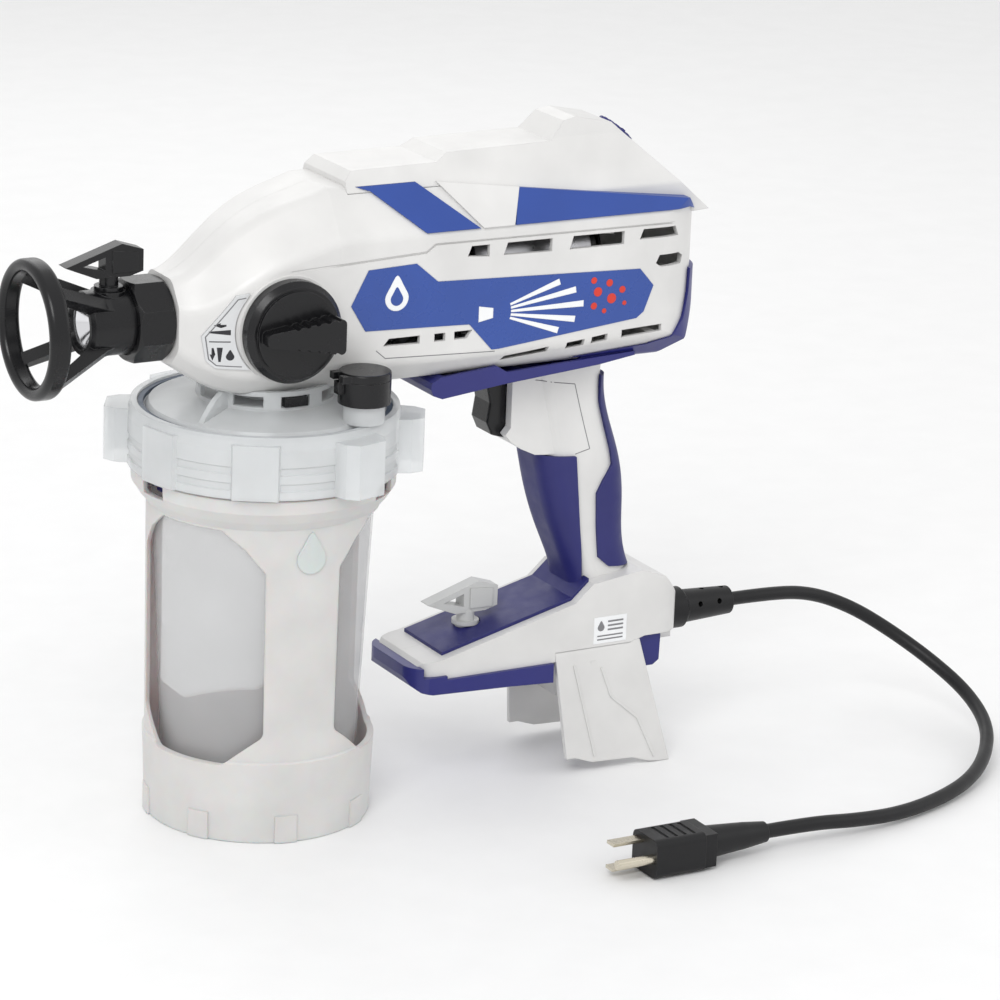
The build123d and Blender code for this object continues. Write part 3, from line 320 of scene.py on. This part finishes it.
def fill(outlines, longest):
    """A flat triangle mesh of closed outlines, with no edge longer than the given length."""
    flat = bmesh.new()
    for outline in outlines:
        flat.faces.new([flat.verts.new((u, v, 0)) for u, v in outline])
    bmesh.ops.triangulate(flat, faces=flat.faces)
    for _ in range(MOST_CUTS):
        long_edges = [e for e in flat.edges if e.calc_length() > longest]
        if not long_edges:
            break
        bmesh.ops.subdivide_edges(flat, edges=long_edges, cuts=1)
        bmesh.ops.triangulate(flat, faces=flat.faces)
    return flat


def stick(name, outlines, node, place, height, material, body, longest=50.0):
    """Raise outlines off a CAD node's surface. place(u, v) gives a ray's start and direction."""
    flat = fill(outlines, longest)
    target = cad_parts[node]
    tops = {}
    solid = bmesh.new()
    for vertex in flat.verts:
        start, direction = place(vertex.co.x, vertex.co.y)
        hit, point, _, _ = target.ray_cast(start, direction)
        if not hit:
            raise ValueError(f"{name}: no surface of {node} at {tuple(vertex.co)}")
        top = solid.verts.new(point - direction * height * MM)
        low = solid.verts.new(point + direction * SUNK * MM)
        tops[vertex] = (top, low)
    for face in flat.faces:
        solid.faces.new([tops[v][0] for v in face.verts])
        solid.faces.new([tops[v][1] for v in reversed(face.verts)])
    for edge in flat.edges:
        if edge.is_boundary:
            first, second = edge.verts
            solid.faces.new([tops[first][0], tops[first][1], tops[second][1], tops[second][0]])
    bmesh.ops.recalc_face_normals(solid, faces=solid.faces)
    mesh = bpy.data.meshes.new(name)
    solid.to_mesh(mesh)
    solid.free()
    flat.free()
    mesh.materials.append(material)
    piece = bpy.data.objects.new(name, mesh)
    bpy.context.collection.objects.link(piece)
    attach(piece, body)
    return piece


def from_side(side):
    """Rays towards the gun's middle plane from one side: u is X and v is Z."""
    def place(u, v):
        return Vector((u, side * RAY_START, v)) * MM, Vector((0, -side, 0))
    return place


def round_cup(angle, radius):
    """Rays towards the cup's axis: u runs round the cup from an angle, v is Z."""
    def place(u, v):
        turn = radians(angle) + u / radius
        outward = Vector((cos(turn), sin(turn), 0))
        return outward * (RAY_START * MM) + Vector((0, 0, v * MM)), -outward
    return place


def droplet(u, v, size, steps=28):
    """Outline of a drop whose point is up, centred on its round part."""
    outline = []
    for step in range(steps):
        turn = 2 * pi * step / steps
        stretch = 1 + 0.75 * max(0.0, cos(turn)) ** 3
        outline.append((u + size * sin(turn) * (1 - 0.35 * max(0.0, cos(turn)) ** 2),
                        v + size * cos(turn) * stretch))
    return outline


def dot(u, v, size, steps=18):
    """Outline of a round dot."""
    return [(u + size * cos(2 * pi * s / steps), v + size * sin(2 * pi * s / steps))
            for s in range(steps)]


def stroke(start, end, start_width, end_width):
    """Outline of a straight tapered stroke."""
    start, end = Vector(start), Vector(end)
    along = (end - start).normalized()
    across = Vector((-along.y, along.x))
    return [tuple(start + across * start_width / 2), tuple(start - across * start_width / 2),
            tuple(end - across * end_width / 2), tuple(end + across * end_width / 2)]


def polyline(points, width):
    """Outlines of straight strokes that join points."""
    return [stroke(start, end, width, width) for start, end in zip(points, points[1:])]


def arrow(start, end, width, head):
    """Outline of a straight arrow."""
    start, end = Vector(start), Vector(end)
    along = (end - start).normalized()
    across = Vector((-along.y, along.x))
    neck = end - along * head * 1.2
    points = [start + across * width / 2, start - across * width / 2, neck - across * width / 2,
              neck - across * head / 2 - along * 0.2, end,
              neck + across * head / 2 - along * 0.2, neck + across * width / 2]
    return [tuple(point) for point in points]


LABEL_DROP = (50.5, 264.0)
LABEL_NOZZLE = (103.0, 251.5)
NOZZLE_OUTLINE = [(96, 247.5), (104, 249), (104, 254), (96, 255.5)]
SPRAY_STROKES = ((18, 40), (9, 48), (0, 52), (-9, 48), (-18, 40))
SPRAY_START = 11
PAINT_DOTS = [
    (160.5, 262.5, 1.7), (163, 256.5, 2.4), (161, 249.5, 1.8), (169.5, 260.5, 1.9),
    (171, 252.5, 2.6), (167, 246.5, 1.3), (177, 256.5, 1.8), (178.5, 249.5, 1.2),
]


def spray_fan():
    """Outlines of the spray strokes, which widen away from the nozzle."""
    fan = []
    for angle, reach in SPRAY_STROKES:
        turn = radians(angle)
        heading = Vector((cos(turn), sin(turn)))
        start = Vector(LABEL_NOZZLE) + heading * SPRAY_START
        fan.append(stroke(start, Vector(LABEL_NOZZLE) + heading * reach, 1.2, 3.2))
    return fan


def add_label_graphics(materials):
    """A drop, a fan of spray strokes and paint dots on each side label."""
    drop_u, drop_v = LABEL_DROP
    for side, word in ((-1, "near"), (1, "far")):
        place = from_side(side)

        def add(name, outlines, finish, height=PRINT_HEIGHT):
            stick(f"{name}_{word}", outlines, "side_labels", place, height, materials[finish],
                  "gun")

        add("label_drop", [droplet(drop_u, drop_v, 6.4)], "print")
        add("label_drop_core", [droplet(drop_u, drop_v - 0.4, 3.4)], "label",
            PRINT_ON_PRINT_HEIGHT)
        add("label_fan", spray_fan(), "print")
        add("label_nozzle", [NOZZLE_OUTLINE], "print")
        add("label_dots", [dot(*place_and_size) for place_and_size in PAINT_DOTS], "accent")


PLATE_CORNERS = [(-28.8, 270.9), (-32.5, 270.2), (-46.4, 251.8), (-44.9, 241), (-41.6, 238),
                 (-30.2, 237.3)]
PLATE_PRINT_HEIGHT = 0.1


def add_plate_icons(materials):
    """Arrows and paint marks on the metal plate by the prime knob."""
    place = from_side(-1)
    stick("plate_marks", [
        arrow((-37.5, 257.6), (-43.0, 257.6), 0.8, 2.4),
        stroke((-35.5, 254.2), (-45, 254.2), 2.6, 0.8),
        stroke((-44.8, 249.6), (-35.5, 249.6), 0.5, 0.5),
        arrow((-43.3, 246.6), (-43.3, 240.4), 0.8, 2.4),
        stroke((-40.2, 246.8), (-40.2, 239.8), 2.6, 1.0),
        droplet(-35.6, 242.4, 1.9),
    ], "prime_plate", place, PLATE_PRINT_HEIGHT, materials["ink"], "gun",
          longest=2.0)
    stick("plate_border", polyline(PLATE_CORNERS, 0.5), "prime_plate", place,
          PLATE_PRINT_HEIGHT, materials["grey_print"], "gun", longest=2.0)


STICKER_CORNERS = [(177.3, 66.5), (196.7, 66.5), (196.7, 80.8), (177.3, 80.8)]
STICKER_HEIGHT = 0.15
STICKER_PRINT_HEIGHT = 0.25


def add_base_sticker(materials):
    """A small rating sticker on the base with a drop and plain grey bars."""
    place = from_side(-1)
    stick("base_sticker", [STICKER_CORNERS], "left_housing", place, STICKER_HEIGHT,
          materials["print"], "gun")
    marks = [stroke((185.5, z), (194.5, z), 0.9, 0.9) for z in (78, 75.8, 73.6)]
    marks += [stroke((179.5, z), (194.5, z), 0.7, 0.7) for z in (70.6, 68.7)]
    marks.append(droplet(181.5, 75.2, 2.0))
    stick("base_sticker_marks", marks, "left_housing", place, STICKER_PRINT_HEIGHT,
          materials["grey_print"], "gun")


def add_cup_emblem(materials):
    """A raised drop on the cup's front post."""
    post_angle, post_radius, drop_height = -92, 57.0, 0.8
    stick("cup_drop", [droplet(0, 145, 7.6)], "cup_holder", round_cup(post_angle, post_radius),
          drop_height, materials["cup"], "cup", longest=3.0)


HANDLE_SEAM = [(142.6, 207.6), (164.4, 203.8), (175.3, 168.5), (167, 166.6)]
BODY_SEAM = [(40.2, 238.7), (45.3, 234.4), (106.1, 231.8)]
SEAM_WIDTH = 0.45
SEAM_HEIGHT = 0.04
STAND_FOLDS = [[(166, 57), (177.5, 8)], [(182, 54), (187.6, 38.2), (203, 25), (213, 3)]]
FOLD_WIDTH = 1.2
FOLD_HEIGHT = 0.5


def add_seams(materials):
    """Fine part lines on the body and handle, and the raised folds of the stand."""
    for side, word in ((-1, "near"), (1, "far")):
        housing = "left_housing" if side < 0 else "right_housing"
        for name, points in (("handle_seam", HANDLE_SEAM), ("body_seam", BODY_SEAM)):
            stick(f"{name}_{word}", polyline(points, SEAM_WIDTH), housing, from_side(side),
                  SEAM_HEIGHT, materials["grey_print"], "gun", longest=3.0)
        for index, points in enumerate(STAND_FOLDS):
            stick(f"stand_fold_{index + 1}_{word}", polyline(points, FOLD_WIDTH), "stand",
                  from_side(side), FOLD_HEIGHT, materials["white"], "gun",
                  longest=4.0)


LINER_MARK = [(-9, 169.5), (9, 169.5), (9, 176.2), (-9, 176.2)]
LINER_MARK_ANGLES = (-172, -52, 68)
LINER_MARK_HEIGHT = 0.3


def add_liner_marks(materials):
    """Blue marks on the liner, seen through the slots in the cup's collar."""
    for index, angle in enumerate(LINER_MARK_ANGLES):
        stick(f"liner_mark_{index + 1}", [LINER_MARK], "liner", round_cup(angle, 58.0),
              LINER_MARK_HEIGHT, materials["blue"], "cup", longest=3.0)


# ---------------------------------------------------------------- light and floor
LIGHT_TARGET = (0.1, 0, 0.18)
LIGHTS = (
    ("key", (-0.9, -1.1, 1.5), 0.8, 13),
    ("fill", (1.5, -0.9, 0.9), 1.0, 2),
    ("rim", (0.4, 1.4, 1.2), 1.2, 4),
)
SURROUND_STRENGTH = 0.9
FLOOR_HALF = 4.0
FLOOR_Z = -0.0002


def area_light(name, place, target, size, power):
    """A square soft light that points at a target."""
    data = bpy.data.lights.new(name, "AREA")
    data.shape = "SQUARE"
    data.size = size
    data.energy = power
    light = bpy.data.objects.new(name, data)
    light.location = place
    heading = Vector(target) - Vector(place)
    light.rotation_euler = heading.to_track_quat("-Z", "Y").to_euler()
    bpy.context.collection.objects.link(light)


def add_studio():
    """Soft white light, a pale floor and a pale surround."""
    world = bpy.data.worlds.new("surround")
    world.use_nodes = True
    world.node_tree.nodes["Background"].inputs["Color"].default_value = (1.0, 1.0, 1.0, 1)
    world.node_tree.nodes["Background"].inputs["Strength"].default_value = SURROUND_STRENGTH
    bpy.context.scene.world = world
    for name, place, size, power in LIGHTS:
        area_light(name, place, LIGHT_TARGET, size, power)

    floor_mesh = bpy.data.meshes.new("floor")
    corners = [(-FLOOR_HALF, -FLOOR_HALF, 0), (FLOOR_HALF, -FLOOR_HALF, 0),
               (FLOOR_HALF, FLOOR_HALF, 0), (-FLOOR_HALF, FLOOR_HALF, 0)]
    floor_mesh.from_pydata(corners, [], [(0, 1, 2, 3)])
    floor_mesh.materials.append(surface("pale_floor", (0.86, 0.86, 0.86), 0.6, grain=0.1,
                                        variation=0.01))
    floor = bpy.data.objects.new("floor", floor_mesh)
    floor.location.z = FLOOR_Z
    bpy.context.collection.objects.link(floor)
    bpy.context.scene.view_settings.view_transform = "Standard"


# ---------------------------------------------------------------- assembly
add_camera()
materials = make_materials()
finish_nodes(materials)
add_cord(materials["black_rubber"])
add_label_graphics(materials)
add_plate_icons(materials)
add_base_sticker(materials)
add_cup_emblem(materials)
add_liner_marks(materials)
add_seams(materials)
add_studio()
